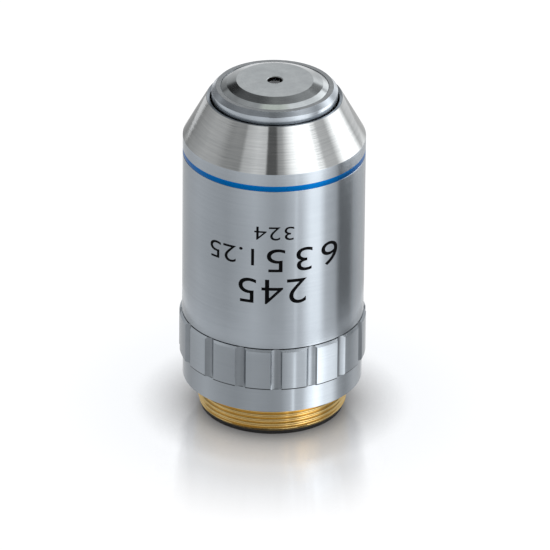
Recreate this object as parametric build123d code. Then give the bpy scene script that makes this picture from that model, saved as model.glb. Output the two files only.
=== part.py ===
from build123d import *
import math
import os

# A spring-loaded microscope objective, standing on its screw mount with its nose up.
# Sizes are in millimetres. Heights rise along the optical axis from the rear rim, and
# widths of round things are radii.

# Screw mount
rim_radius = 9.75  # black ring that closes the rear
rim_height = 0.55
thread_radius = 10.16  # crests of the standard 0.8 inch objective thread
thread_length = 3.62
thread_lead = 0.2  # chamfer that starts the thread
relief_height = 0.58  # undercut between the thread and the shoulder
relief_depth = 0.56
rear_bore_radius = 7.0  # way out for the light
spigot_wall = 0.9
spigot_length = 2.05
spanner_slot_width = 1.2
spanner_slot_depth = 0.35
spanner_slot_set_in = 0.8  # from the ring's edge

# Plated rings of the base
base_lip_height = 1.2
base_height = 3.57
base_set_in = 0.13  # base ring inside the line of the sleeve
grip_height = 6.02
grip_proud = 0.35  # grip pads outside the line of the sleeve
grip_chamfer = 0.3
flute_count = 16
flute_depth = 0.45
flute_cutter_radius = 0.95
flute_turn = 2.55  # degrees from the front to the nearest flute
seam_gap = 0.12  # hairline between the grip ring and the sleeve

# Outer sleeve
sleeve_wall = 1.48
skirt_wall = 0.7
skirt_length = 3.5
barrel_length = 26.38  # straight part above the grip ring
cone_height = 5.7
lip_width = 0.45
lip_depth = 1.2
colour_ring_below_cone = 1.75
colour_ring_height = 0.8
colour_ring_depth = 0.15

# Mount tube and forward stop
mount_wall = 2.3
spring_ledge = 0.4
headroom = 2.8  # from the top of the mount tube to the foot of the cone
stop_ring_height = 2.0
retract_travel = 2.0
overtravel = 0.3
guide_pin_radius = 0.6
driver_slot_width = 0.3
driver_slot_depth = 0.35
guide_slot_depth = 1.0
guide_tip_gap = 0.15

# Lens barrel, which slides
barrel_wall = 1.65
collar_step = 1.4
collar_height = 2.5
tail_wall = 0.45
tail_clearance = 2.6
spring_length = 7.0
spring_wire_width = 0.7
spring_wire_height = 0.7
spring_turns = 4
neck_wall = 1.08

# Nose
nose_skirt_wall = 0.55
nose_skirt_length = 4.35
nose_gap = 0.31  # ring of shadow between nose and sleeve
nose_stand_out = 1.56
nose_chamfer_width = 0.57
nose_chamfer_height = 0.61
nose_rim_width = 0.66
flange_depth = 2.25
cell_set_back = 0.05
collar_slope_width = 0.76
collar_slope_rise = 0.43
bevel_width = 1.33
bevel_rise = 0.52
face_hole_radius = 1.0
face_hole_chamfer = 0.12
face_plate = 0.35
front_spigot_length = 1.0
front_bore_length = 2.05
front_bore_flare = 4.2

# Lenses, named from the nose to the rear; a depth is how far a surface bends over its radius
front_ball_radius = 2.6
front_thickness = 3.0
front_air = 1.9
second_radius = 3.6
second_edge = 1.25
second_top_depth = 0.85
second_bottom_depth = 1.6
second_air = 0.9
doublet_1_radius = 4.4
doublet_1_top_depth = 0.7
doublet_1_cement_depth = 1.45
doublet_1_crown_edge = 0.85
doublet_1_flint_thickness = 1.4
doublet_1_air = 0.8
doublet_2_radius = 5.0
doublet_2_top_depth = 0.4
doublet_2_cement_depth = 1.6
doublet_2_bottom_depth = 1.1
doublet_2_flint_thickness = 1.3
doublet_2_crown_edge = 0.5
rear_radius = 4.2
rear_top_depth = 0.85
rear_cement_depth = 1.05
rear_bottom_depth = 1.4
rear_crown_thickness = 2.4
rear_flint_thickness = 1.2

# Lens cells
cell_wall = 1.86  # round the widest lens
ledge_height = 0.8
ledge_width = 0.5
rear_cell_margin = 0.4
stop_plate = 0.6
aperture_radius = 3.4
spacer_wall = 0.9
lock_ring_height = 1.5
lock_ring_wall = 1.6
lock_ring_set_in = 0.2

# Turned edges
edge_break = 0.08

# Clearances
slip = 0.02  # a fit that is pushed or screwed home
running = 0.04  # the sliding fit of the lens barrel
sleeve_fit = 0.03
cement = 0.02  # under a lens that touches its ledge on a curve

# Radii, built up from the lens cells to the outside
cell_radius = doublet_2_radius + slip + cell_wall
barrel_bore = cell_radius + slip
barrel_radius = barrel_bore + barrel_wall
tail_radius = barrel_bore + tail_wall
neck_radius = barrel_bore + neck_wall
nose_radius = neck_radius + slip + nose_skirt_wall
nose_rim_radius = nose_radius - nose_chamfer_width
front_cell_radius = nose_rim_radius - nose_rim_width - slip
bevel_radius = front_cell_radius - collar_slope_width
face_radius = bevel_radius - bevel_width
guide_bore = barrel_radius + running
collar_radius = guide_bore + collar_step
counterbore = collar_radius + running
mount_radius = guide_bore + mount_wall
mount_seat_radius = thread_radius + slip
relief_radius = thread_radius - relief_depth
spigot_radius = rear_bore_radius + spigot_wall
sleeve_bore = mount_radius + sleeve_fit
sleeve_radius = sleeve_bore + sleeve_wall
skirt_radius = sleeve_bore + skirt_wall
lip_bore = nose_radius + nose_gap
lip_radius = lip_bore + lip_width
base_radius = sleeve_radius - base_set_in
grip_radius = sleeve_radius + grip_proud

# Heights of the housing
shoulder_z = rim_height + thread_length + relief_height
seat_z = shoulder_z + base_lip_height
spring_seat_z = seat_z + spring_ledge
base_top_z = shoulder_z + base_height
grip_top_z = base_top_z + grip_height
sleeve_foot_z = grip_top_z + seam_gap
skirt_foot_z = sleeve_foot_z - skirt_length
cone_base_z = sleeve_foot_z + barrel_length
lip_z = cone_base_z + cone_height
colour_ring_top_z = cone_base_z - colour_ring_below_cone
colour_ring_foot_z = colour_ring_top_z - colour_ring_height
mount_top_z = cone_base_z - headroom
stop_foot_z = mount_top_z - stop_ring_height
collar_foot_z = stop_foot_z - collar_height
counterbore_z = collar_foot_z - retract_travel - overtravel
guide_z = collar_foot_z + (collar_height - retract_travel) / 2

# Heights of the nose and the lens barrel
nose_rim_z = lip_z + nose_stand_out
front_cell_edge_z = nose_rim_z - cell_set_back
bevel_z = front_cell_edge_z + collar_slope_rise
face_z = bevel_z + bevel_rise
neck_top_z = nose_rim_z - flange_depth
nose_foot_z = neck_top_z - nose_skirt_length
tail_foot_z = spring_seat_z + tail_clearance
spring_top_z = spring_seat_z + spring_length
lock_foot_z = tail_foot_z + lock_ring_set_in
lock_top_z = lock_foot_z + lock_ring_height


def depth_within(depth, radius, inner):
    """How far a lens surface of that depth and radius bends by an inner radius."""
    curve = (radius**2 + depth**2) / (2 * depth)
    return curve - math.sqrt(curve**2 - inner**2)


# Heights of the lenses, from the nose down
front_top_z = face_z - face_plate
front_bottom_z = front_top_z - front_thickness
front_spigot_foot_z = neck_top_z - front_spigot_length
second_top_z = front_bottom_z - front_air
second_bottom_z = second_top_z + second_top_depth - second_edge - second_bottom_depth
second_ledge_radius = second_radius - ledge_width
second_bend = depth_within(second_bottom_depth, second_radius, second_ledge_radius)
second_seat_z = second_bottom_z + second_bend - cement
doublet_1_top_z = second_bottom_z - second_air
doublet_1_crown_z = doublet_1_top_z - doublet_1_top_depth - doublet_1_crown_edge
doublet_1_cement_z = doublet_1_crown_z - doublet_1_cement_depth
doublet_1_seat_z = doublet_1_cement_z - doublet_1_flint_thickness
doublet_2_top_z = doublet_1_seat_z - doublet_1_air
doublet_2_cement_z = doublet_2_top_z - doublet_2_flint_thickness
doublet_2_crown_z = doublet_2_cement_z - doublet_2_cement_depth - doublet_2_crown_edge
doublet_2_bottom_z = doublet_2_crown_z - doublet_2_bottom_depth
doublet_2_ledge_radius = doublet_2_radius - ledge_width
doublet_2_bend = depth_within(doublet_2_bottom_depth, doublet_2_radius, doublet_2_ledge_radius)
doublet_2_seat_z = doublet_2_bottom_z + doublet_2_bend - cement

# Heights of the rear group, from the lock ring up
rear_seat_z = lock_top_z + ledge_height
rear_bottom_z = rear_seat_z + rear_bottom_depth
rear_cement_z = rear_bottom_z + rear_crown_thickness
rear_top_z = rear_cement_z + rear_flint_thickness
rear_cell_top_z = rear_top_z + rear_top_depth + rear_cell_margin
spacer_foot_z = rear_cell_top_z + stop_plate
spacer_top_z = doublet_2_seat_z - ledge_height


def turned(*corners):
    """Solid turned about the optical axis from (radius, height) corners."""
    outline = Plane.XZ * Polyline(*corners, close=True)
    return revolve(make_face(outline), Axis.Z)


def ring(inner, outer, foot, top):
    return turned((inner, foot), (outer, foot), (outer, top), (inner, top))


def surface(radius, z, rise):
    """Line of a lens surface from the axis outwards; rise is how far its edge is above its middle."""
    if not rise:
        return Line((0, z), (radius, z))
    half_rise = math.copysign(depth_within(abs(rise), radius, radius / 2), rise)
    return ThreePointArc((0, z), (radius / 2, z + half_rise), (radius, z + rise))


def lens(radius, top, bottom):
    """Lens with a ground edge; each of its two surfaces is given as (height, rise)."""
    top_line = surface(radius, *top)
    bottom_line = surface(radius, *bottom)
    edge = Line(top_line @ 1, bottom_line @ 1)
    axis = Line((0, bottom[0]), (0, top[0]))
    return revolve(make_face(Plane.XZ * (top_line + edge + bottom_line + axis)), Axis.Z)


def cell(lens_radius, seat_z, top_z, foot_z):
    """Brass cell: a ring with a ledge that carries the lens."""
    return turned(
        (lens_radius - ledge_width, foot_z),
        (cell_radius, foot_z),
        (cell_radius, top_z),
        (lens_radius + slip, top_z),
        (lens_radius + slip, seat_z),
        (lens_radius - ledge_width, seat_z),
    )


def spanner_slots(reach, foot_z):
    """Two slots across a ring's rear face for a pin spanner."""
    size = (2 * reach, spanner_slot_width, 2 * spanner_slot_depth)
    return Pos(0, 0, foot_z) * Box(*size)


# Pieces of the housing
def make_rear_ring():
    body = turned(
        (rear_bore_radius, 0),
        (rim_radius - edge_break, 0),
        (rim_radius, edge_break),
        (rim_radius, rim_height),
        (spigot_radius, rim_height),
        (spigot_radius, rim_height + spigot_length),
        (rear_bore_radius, rim_height + spigot_length),
    )
    return body - spanner_slots(rim_radius - spanner_slot_set_in, 0)


def make_mount_tube():
    spigot_seat = rim_height + spigot_length + slip
    tube = turned(
        (spigot_radius + slip, rim_height),
        (thread_radius - thread_lead, rim_height),
        (thread_radius, rim_height + thread_lead),
        (thread_radius, shoulder_z - relief_height),
        (relief_radius, shoulder_z - relief_height),
        (relief_radius, shoulder_z),
        (mount_seat_radius, shoulder_z),
        (mount_seat_radius, seat_z),
        (mount_radius, seat_z),
        (mount_radius, mount_top_z),
        (counterbore, mount_top_z),
        (counterbore, counterbore_z),
        (guide_bore, counterbore_z),
        (guide_bore, spring_seat_z),
        (rear_bore_radius, spring_seat_z),
        (rear_bore_radius, spigot_seat),
        (spigot_radius + slip, spigot_seat),
    )
    hole = Plane.XZ.offset(-mount_radius) * Pos(0, guide_z) * Circle(guide_pin_radius + slip)
    return tube - extrude(hole, mount_radius - collar_radius + guide_slot_depth)


def make_base_ring():
    return turned(
        (mount_seat_radius + slip, shoulder_z),
        (base_radius - edge_break, shoulder_z),
        (base_radius, shoulder_z + edge_break),
        (base_radius, base_top_z),
        (mount_radius + slip, base_top_z),
        (mount_radius + slip, seat_z),
        (mount_seat_radius + slip, seat_z),
    )


def make_grip_ring():
    body = turned(
        (mount_radius + slip, base_top_z),
        (grip_radius - edge_break, base_top_z),
        (grip_radius, base_top_z + edge_break),
        (grip_radius, grip_top_z - grip_chamfer),
        (grip_radius - grip_chamfer, grip_top_z),
        (skirt_radius + slip, grip_top_z),
        (skirt_radius + slip, skirt_foot_z),
        (mount_radius + slip, skirt_foot_z),
    )
    cutter_centre = grip_radius - flute_depth + flute_cutter_radius
    cutter = Pos(0, -cutter_centre, base_top_z) * extrude(Circle(flute_cutter_radius), grip_height)
    turn = 360 / flute_count
    return body - [Rot(0, 0, flute_turn + i * turn) * cutter for i in range(flute_count)]


def make_outer_sleeve():
    body = turned(
        (sleeve_bore, skirt_foot_z),
        (skirt_radius, skirt_foot_z),
        (skirt_radius, sleeve_foot_z),
        (sleeve_radius - edge_break, sleeve_foot_z),
        (sleeve_radius, sleeve_foot_z + edge_break),
        (sleeve_radius, cone_base_z),
        (lip_radius, lip_z),
        (lip_bore, lip_z),
        (lip_bore, lip_z - lip_depth),
        (sleeve_bore, cone_base_z),
    )
    groove_floor = sleeve_radius - colour_ring_depth
    return body - ring(groove_floor, sleeve_radius + 1, colour_ring_foot_z, colour_ring_top_z)


def make_colour_ring():
    floor = sleeve_radius - colour_ring_depth
    return ring(floor, sleeve_radius - slip / 2, colour_ring_foot_z, colour_ring_top_z)


def make_stop_ring():
    return ring(guide_bore + slip, counterbore - slip, stop_foot_z, mount_top_z)


def make_guide_screw():
    tip = collar_radius - guide_slot_depth + guide_tip_gap
    length = mount_radius - tip
    pin = Plane.XZ.offset(-mount_radius) * Pos(0, guide_z) * Circle(guide_pin_radius)
    slot = Box(2 * guide_pin_radius, 2 * driver_slot_depth, driver_slot_width)
    return extrude(pin, length) - Pos(0, mount_radius, guide_z) * slot


def make_retraction_spring():
    """Coil of square wire whose two ends are ground flat."""
    middle = (tail_radius + guide_bore) / 2
    coil = Helix(pitch=spring_length / spring_turns, height=spring_length, radius=middle)
    start = Plane(origin=coil @ 0, x_dir=(1, 0, 0), z_dir=coil % 0)
    wire = sweep(start * Rectangle(spring_wire_width, spring_wire_height), path=coil, is_frenet=True)
    half = spring_wire_width
    return Pos(0, 0, spring_seat_z) * (wire & ring(middle - half, middle + half, 0, spring_length))


# Pieces that slide with the nose
def make_lens_barrel():
    body = turned(
        (barrel_bore, tail_foot_z),
        (tail_radius, tail_foot_z),
        (tail_radius, spring_top_z),
        (barrel_radius, spring_top_z),
        (barrel_radius, collar_foot_z),
        (collar_radius, collar_foot_z),
        (collar_radius, stop_foot_z),
        (barrel_radius, stop_foot_z),
        (barrel_radius, nose_foot_z),
        (neck_radius, nose_foot_z),
        (neck_radius, neck_top_z),
        (barrel_bore, neck_top_z),
    )
    slot_middle = collar_radius - guide_slot_depth / 2
    slot = Box(2 * (guide_pin_radius + running), guide_slot_depth, collar_height)
    return body - Pos(0, slot_middle, (collar_foot_z + stop_foot_z) / 2) * slot


def make_nose_ring():
    return turned(
        (neck_radius + slip, nose_foot_z),
        (nose_radius, nose_foot_z),
        (nose_radius, nose_rim_z - nose_chamfer_height),
        (nose_rim_radius, nose_rim_z),
        (front_cell_radius + slip, nose_rim_z),
        (front_cell_radius + slip, neck_top_z),
        (neck_radius + slip, neck_top_z),
    )


def make_front_cell():
    return turned(
        (face_hole_radius, front_top_z),
        (face_hole_radius, face_z - face_hole_chamfer),
        (face_hole_radius + face_hole_chamfer, face_z),
        (face_radius, face_z),
        (bevel_radius, bevel_z),
        (front_cell_radius, front_cell_edge_z),
        (front_cell_radius, neck_top_z),
        (cell_radius, neck_top_z),
        (cell_radius, front_spigot_foot_z),
        (front_bore_flare, front_spigot_foot_z),
        (front_ball_radius + slip, front_top_z - front_bore_length),
        (front_ball_radius + slip, front_top_z),
    )


def make_front_lens():
    """Ball lens with a flat ground on it towards the specimen."""
    centre_z = front_bottom_z + front_ball_radius
    flat_angle = math.asin((front_top_z - centre_z) / front_ball_radius)
    middle_angle = (flat_angle - math.pi / 2) / 2
    flat_radius = front_ball_radius * math.cos(flat_angle)
    middle = (
        front_ball_radius * math.cos(middle_angle),
        centre_z + front_ball_radius * math.sin(middle_angle),
    )
    ball = ThreePointArc((flat_radius, front_top_z), middle, (0, front_bottom_z))
    flat = Line((0, front_top_z), (flat_radius, front_top_z))
    axis = Line((0, front_bottom_z), (0, front_top_z))
    return revolve(make_face(Plane.XZ * (flat + ball + axis)), Axis.Z)


def make_second_lens():
    top = (second_top_z, second_top_depth)
    bottom = (second_bottom_z, second_bottom_depth)
    return lens(second_radius, top, bottom)


def make_second_cell():
    return cell(second_radius, second_seat_z, front_spigot_foot_z, second_seat_z - ledge_height)


def make_doublet_1():
    top = (doublet_1_top_z, -doublet_1_top_depth)
    joined = (doublet_1_cement_z, doublet_1_cement_depth)
    bottom = (doublet_1_seat_z, 0)
    return lens(doublet_1_radius, top, joined), lens(doublet_1_radius, joined, bottom)


def make_doublet_1_cell():
    top = second_seat_z - ledge_height
    return cell(doublet_1_radius, doublet_1_seat_z, top, doublet_1_seat_z - ledge_height)


def make_doublet_2():
    top = (doublet_2_top_z, -doublet_2_top_depth)
    joined = (doublet_2_cement_z, -doublet_2_cement_depth)
    bottom = (doublet_2_bottom_z, doublet_2_bottom_depth)
    return lens(doublet_2_radius, top, joined), lens(doublet_2_radius, joined, bottom)


def make_doublet_2_cell():
    top = doublet_1_seat_z - ledge_height
    return cell(doublet_2_radius, doublet_2_seat_z, top, spacer_top_z)


def make_rear_doublet():
    top = (rear_top_z, rear_top_depth)
    joined = (rear_cement_z, -rear_cement_depth)
    bottom = (rear_bottom_z, -rear_bottom_depth)
    return lens(rear_radius, top, joined), lens(rear_radius, joined, bottom)


def make_lock_ring():
    body = ring(cell_radius - lock_ring_wall, cell_radius, lock_foot_z, lock_top_z)
    return body - spanner_slots(cell_radius + slip, lock_foot_z)


doublet_1_crown, doublet_1_flint = make_doublet_1()
doublet_2_flint, doublet_2_crown = make_doublet_2()
rear_flint, rear_crown = make_rear_doublet()

pieces = {
    "rear_ring": make_rear_ring(),
    "mount_tube": make_mount_tube(),
    "base_ring": make_base_ring(),
    "grip_ring": make_grip_ring(),
    "outer_sleeve": make_outer_sleeve(),
    "colour_ring": make_colour_ring(),
    "stop_ring": make_stop_ring(),
    "guide_screw": make_guide_screw(),
    "retraction_spring": make_retraction_spring(),
    "lens_barrel": make_lens_barrel(),
    "nose_ring": make_nose_ring(),
    "front_cell": make_front_cell(),
    "front_lens": make_front_lens(),
    "second_lens": make_second_lens(),
    "second_cell": make_second_cell(),
    "doublet_1_crown": doublet_1_crown,
    "doublet_1_flint": doublet_1_flint,
    "doublet_1_cell": make_doublet_1_cell(),
    "doublet_2_flint": doublet_2_flint,
    "doublet_2_crown": doublet_2_crown,
    "doublet_2_cell": make_doublet_2_cell(),
    "spacer_tube": ring(cell_radius - spacer_wall, cell_radius, spacer_foot_z, spacer_top_z),
    "aperture_stop": ring(aperture_radius, cell_radius, rear_cell_top_z, spacer_foot_z),
    "rear_flint": rear_flint,
    "rear_crown": rear_crown,
    "rear_cell": cell(rear_radius, rear_seat_z, rear_cell_top_z, lock_top_z),
    "lock_ring": make_lock_ring(),
}

os.makedirs("parts", exist_ok=True)
for name, piece in pieces.items():
    export_step(piece, f"parts/{name}.step")
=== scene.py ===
import math

import bpy
from mathutils import Matrix, Vector


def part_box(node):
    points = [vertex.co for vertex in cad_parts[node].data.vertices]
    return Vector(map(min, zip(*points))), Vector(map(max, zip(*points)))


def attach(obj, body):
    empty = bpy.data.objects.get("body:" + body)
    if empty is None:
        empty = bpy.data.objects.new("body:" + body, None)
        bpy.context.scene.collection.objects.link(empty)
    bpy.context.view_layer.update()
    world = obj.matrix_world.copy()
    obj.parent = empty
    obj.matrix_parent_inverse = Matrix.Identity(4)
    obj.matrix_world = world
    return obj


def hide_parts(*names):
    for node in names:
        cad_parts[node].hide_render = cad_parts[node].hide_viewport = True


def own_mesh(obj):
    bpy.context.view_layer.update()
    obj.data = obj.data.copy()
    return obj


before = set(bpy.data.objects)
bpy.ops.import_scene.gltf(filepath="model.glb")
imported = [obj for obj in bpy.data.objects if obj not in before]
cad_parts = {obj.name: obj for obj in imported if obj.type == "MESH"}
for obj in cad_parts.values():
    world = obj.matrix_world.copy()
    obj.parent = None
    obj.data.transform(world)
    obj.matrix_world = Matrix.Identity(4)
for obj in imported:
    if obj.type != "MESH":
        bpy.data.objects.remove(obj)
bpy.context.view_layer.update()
print("frame loaded")

mm = 0.001
mergeGap = 1e-7
hair = 0.005  # mm, less than any edge break

# What is worked out from the CAD nodes, in metres
def radiusOf(node):
    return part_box(node)[1].x


def footOf(node):
    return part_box(node)[0].z


def topOf(node):
    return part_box(node)[1].z


# Colours and materials
def linearColour(hexText):
    parts = [int(hexText[i:i + 2], 16) / 255 for i in (1, 3, 5)]
    return [c / 12.92 if c <= 0.04045 else ((c + 0.055) / 1.055) ** 2.4 for c in parts] + [1.0]


def addNode(tree, kind, settings=None, links=None):
    node = tree.nodes.new(kind)
    for key, value in (settings or {}).items():
        if isinstance(key, str) and hasattr(node, key):
            setattr(node, key, value)
        else:
            node.inputs[key].default_value = value
    for socket, source in (links or {}).items():
        tree.links.new(source, node.inputs[socket])
    return node


def newMaterial(name):
    material = bpy.data.materials.new(name)
    material.use_nodes = True
    material.node_tree.nodes.clear()
    return material, material.node_tree


turnedLook = {
    "lineDetail": 2.0, "lineRoughness": 0.6, "cloudDetail": 3.0, "cloudRoughness": 0.55,
    "darkest": 0.3, "palest": 0.7, "quarterTurn": 0.25}


def turnedMetal(name, finish):
    # Turning lines run round the optical axis, so a reflection is drawn out across them
    look = turnedLook
    material, tree = newMaterial(name)
    place = addNode(tree, "ShaderNodeTexCoord").outputs["Object"]
    around = addNode(tree, "ShaderNodeVectorMath", {"operation": "CROSS_PRODUCT", 0: (0, 0, 1)}, {
        1: place})
    lineScale = 1 / (finish["linePitch"] * mm)
    driftScale = 1 / (finish["lineDrift"] * mm)
    if finish["facing"]:
        outward = addNode(tree, "ShaderNodeVectorMath", {"operation": "MULTIPLY", 1: (1, 1, 0)}, {
            0: place})
        reach = addNode(tree, "ShaderNodeVectorMath", {"operation": "LENGTH"}, {
            0: outward.outputs[0]})
        across = reach.outputs["Value"]
    else:
        parts = addNode(tree, "ShaderNodeSeparateXYZ", {}, {0: place})
        across = parts.outputs["Z"]
    acrossLines = addNode(tree, "ShaderNodeMath", {"operation": "MULTIPLY", 1: lineScale}, {
        0: across})
    drift = addNode(tree, "ShaderNodeVectorMath", {"operation": "SCALE", "Scale": driftScale}, {
        0: place})
    driftParts = addNode(tree, "ShaderNodeSeparateXYZ", {}, {0: drift.outputs[0]})
    lineSpace = addNode(tree, "ShaderNodeCombineXYZ", {}, {
        "X": driftParts.outputs["X"], "Y": driftParts.outputs["Y"], "Z": acrossLines.outputs[0]})
    lines = addNode(tree, "ShaderNodeTexNoise", {
        "Scale": 1.0, "Detail": look["lineDetail"], "Roughness": look["lineRoughness"]}, {
        "Vector": lineSpace.outputs[0]})
    cloudScale = 1 / (finish["cloudSize"] * mm)
    clouds = addNode(tree, "ShaderNodeTexNoise", {
        "Scale": cloudScale, "Detail": look["cloudDetail"], "Roughness": look["cloudRoughness"]}, {
        "Vector": place})
    light, dark = linearColour(finish["light"]), linearColour(finish["dark"])
    blend = addNode(tree, "ShaderNodeMix", {"data_type": "FLOAT", 0: finish["lineTone"]}, {
        2: clouds.outputs["Fac"], 3: lines.outputs["Fac"]})
    contrast = addNode(tree, "ShaderNodeMapRange", {
        "From Min": look["darkest"], "From Max": look["palest"]}, {"Value": blend.outputs[0]})
    tone = addNode(tree, "ShaderNodeMix", {"data_type": "RGBA", 6: dark, 7: light}, {
        0: contrast.outputs[0]})
    rough = addNode(tree, "ShaderNodeMapRange", {
        "To Min": finish["roughness"] - finish["roughnessSpread"],
        "To Max": finish["roughness"] + finish["roughnessSpread"]}, {"Value": lines.outputs["Fac"]})
    bump = addNode(tree, "ShaderNodeBump", {"Strength": 1.0, "Distance": finish["lineDepth"] * mm},
                   {"Height": lines.outputs["Fac"]})
    shader = addNode(tree, "ShaderNodeBsdfPrincipled", {
        "Metallic": 1.0, "Anisotropic": finish["anisotropic"],
        "Anisotropic Rotation": look["quarterTurn"]}, {
        "Base Color": tone.outputs[2], "Roughness": rough.outputs[0], "Normal": bump.outputs[0],
        "Tangent": around.outputs[0]})
    addNode(tree, "ShaderNodeOutputMaterial", {}, {"Surface": shader.outputs[0]})
    return material


grainDetail = 3.0


def evenFinish(name, finish):
    # Paint, anodising and blackening: an even colour with a fine grain
    material, tree = newMaterial(name)
    place = addNode(tree, "ShaderNodeTexCoord").outputs["Object"]
    grainScale = 1 / (finish["grain"] * mm)
    grain = addNode(tree, "ShaderNodeTexNoise", {"Scale": grainScale, "Detail": grainDetail}, {
        "Vector": place})
    light, dark = linearColour(finish["light"]), linearColour(finish["dark"])
    tone = addNode(tree, "ShaderNodeMix", {"data_type": "RGBA", 6: dark, 7: light}, {
        0: grain.outputs["Fac"]})
    rough = addNode(tree, "ShaderNodeMapRange", {
        "To Min": finish["roughness"] - finish["roughnessSpread"],
        "To Max": finish["roughness"] + finish["roughnessSpread"]}, {"Value": grain.outputs["Fac"]})
    bump = addNode(tree, "ShaderNodeBump", {"Strength": 1.0, "Distance": finish["grainDepth"] * mm},
                   {"Height": grain.outputs["Fac"]})
    shader = addNode(tree, "ShaderNodeBsdfPrincipled", {
        "Metallic": finish["metallic"], "Specular IOR Level": finish["specular"]},
        {"Base Color": tone.outputs[2], "Roughness": rough.outputs[0], "Normal": bump.outputs[0]})
    addNode(tree, "ShaderNodeOutputMaterial", {}, {"Surface": shader.outputs[0]})
    return material


def coatedGlass(name, finish):
    # Optical glass with a thin anti-reflection coating, which tints what little it reflects
    material, tree = newMaterial(name)
    place = addNode(tree, "ShaderNodeTexCoord").outputs["Object"]
    dust = addNode(tree, "ShaderNodeTexNoise", {"Scale": 1 / (finish["dust"] * mm)}, {
        "Vector": place})
    rough = addNode(tree, "ShaderNodeMapRange", {"To Min": 0.0, "To Max": finish["roughness"]},
                    {"Value": dust.outputs["Fac"]})
    shader = addNode(tree, "ShaderNodeBsdfPrincipled", {
        "Base Color": linearColour(finish["glass"]), "Transmission Weight": 1.0,
        "IOR": finish["ior"], "Specular IOR Level": finish["specular"],
        "Coat Weight": finish["coat"], "Coat Tint": linearColour(finish["coating"]),
        "Coat IOR": finish["coatIor"]}, {"Roughness": rough.outputs[0]})
    addNode(tree, "ShaderNodeOutputMaterial", {}, {"Surface": shader.outputs[0]})
    return material


# Satin chrome plate: grey, with soft streaks along the barrel
satinPlate = turnedMetal("satinPlate", {
    "light": "#A9B0B7", "dark": "#A0A7AE", "roughness": 0.19, "roughnessSpread": 0.03,
    "anisotropic": 0.93, "linePitch": 0.14, "lineDrift": 12, "lineDepth": 0.003, "cloudSize": 6,
    "lineTone": 0.5, "facing": False})
# Flutes are milled after turning, and stay duller
milledFlute = turnedMetal("milledFlute", {
    "light": "#959BA1", "dark": "#8A9096", "roughness": 0.34, "roughnessSpread": 0.04,
    "anisotropic": 0.6, "linePitch": 0.1, "lineDrift": 4, "lineDepth": 0.001, "cloudSize": 2,
    "lineTone": 0.5, "facing": False})
# The nose ring's flat rim is duller, and darker in colour as painted shade from the front cell
# beside it
rimPaintedShade = turnedMetal("rimPaintedShade", {
    "light": "#94989B", "dark": "#84888B", "roughness": 0.26, "roughnessSpread": 0.05,
    "anisotropic": 0.5, "linePitch": 0.12, "lineDrift": 6, "lineDepth": 0.001, "cloudSize": 1.2,
    "lineTone": 0.3, "facing": True})
# Painted shade: a dark grey that stands in for the shade in the joint under the grip ring
paintedJointShade = evenFinish("paintedJointShade", {
    "light": "#414549", "dark": "#2F3336", "roughness": 0.5, "roughnessSpread": 0.08,
    "metallic": 0.0, "specular": 0.3, "grain": 0.3, "grainDepth": 0.002})
# The coned front is turned brighter, with lines coarse enough to see
brightCone = turnedMetal("brightCone", {
    "light": "#B9BBBB", "dark": "#A0A3A4", "roughness": 0.1, "roughnessSpread": 0.03,
    "anisotropic": 0.85, "linePitch": 0.2, "lineDrift": 6, "lineDepth": 0.008, "cloudSize": 5,
    "lineTone": 0.5, "facing": False})
# The end face is faced off, so its lines are circles
facedPlate = turnedMetal("facedPlate", {
    "light": "#B2B7B9", "dark": "#9CA1A4", "roughness": 0.15, "roughnessSpread": 0.03,
    "anisotropic": 0.5, "linePitch": 0.12, "lineDrift": 20, "lineDepth": 0.0006, "cloudSize": 1.6,
    "lineTone": 0.3, "facing": True})
# Bare brass, bright on the crests of the thread
threadBrass = turnedMetal("threadBrass", {
    "light": "#DCC084", "dark": "#CFB070", "roughness": 0.16, "roughnessSpread": 0.05,
    "anisotropic": 0.5, "linePitch": 0.1, "lineDrift": 10, "lineDepth": 0.001, "cloudSize": 2,
    "lineTone": 0.5, "facing": False})
# Blackened brass inside, so that no stray light is thrown
blackenedBrass = evenFinish("blackenedBrass", {
    "light": "#2B2723", "dark": "#1D1A18", "roughness": 0.5, "roughnessSpread": 0.08,
    "metallic": 1.0, "specular": 0.5, "grain": 0.4, "grainDepth": 0.004})
# Black anodised aluminium: near black with a dull sheen
blackAnodised = evenFinish("blackAnodised", {
    "light": "#211F1F", "dark": "#151414", "roughness": 0.42, "roughnessSpread": 0.06,
    "metallic": 0.0, "specular": 0.5, "grain": 0.25, "grainDepth": 0.003})
# Blue enamel, clear enough for the metal under it to shine through
blueEnamel = evenFinish("blueEnamel", {
    "light": "#0067AF", "dark": "#005FA5", "roughness": 0.28, "roughnessSpread": 0.05,
    "metallic": 0.68, "specular": 0.05, "grain": 0.8, "grainDepth": 0.004})
# Black filling paint of the engraved numbers
blackFill = evenFinish("blackFill", {
    "light": "#08090B", "dark": "#040506", "roughness": 0.5, "roughnessSpread": 0.05,
    "metallic": 0.0, "specular": 0.04, "grain": 0.2, "grainDepth": 0.002})
# Drawn spring steel
drawnSteel = evenFinish("drawnSteel", {
    "light": "#B4B6B8", "dark": "#9FA1A4", "roughness": 0.25, "roughnessSpread": 0.06,
    "metallic": 1.0, "specular": 0.5, "grain": 0.3, "grainDepth": 0.002})
lensGlass = coatedGlass("lensGlass", {
    "glass": "#F4F8F6", "ior": 1.52, "specular": 0.2, "roughness": 0.01, "dust": 0.5,
    "coating": "#8FB4E8", "coat": 0.12, "coatIor": 1.38})
print("materials made")


# Modelling
def deselectAll():
    if bpy.context.object and bpy.context.object.mode != "OBJECT":
        bpy.ops.object.mode_set(mode="OBJECT")
    bpy.ops.object.select_all(action="DESELECT")


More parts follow.
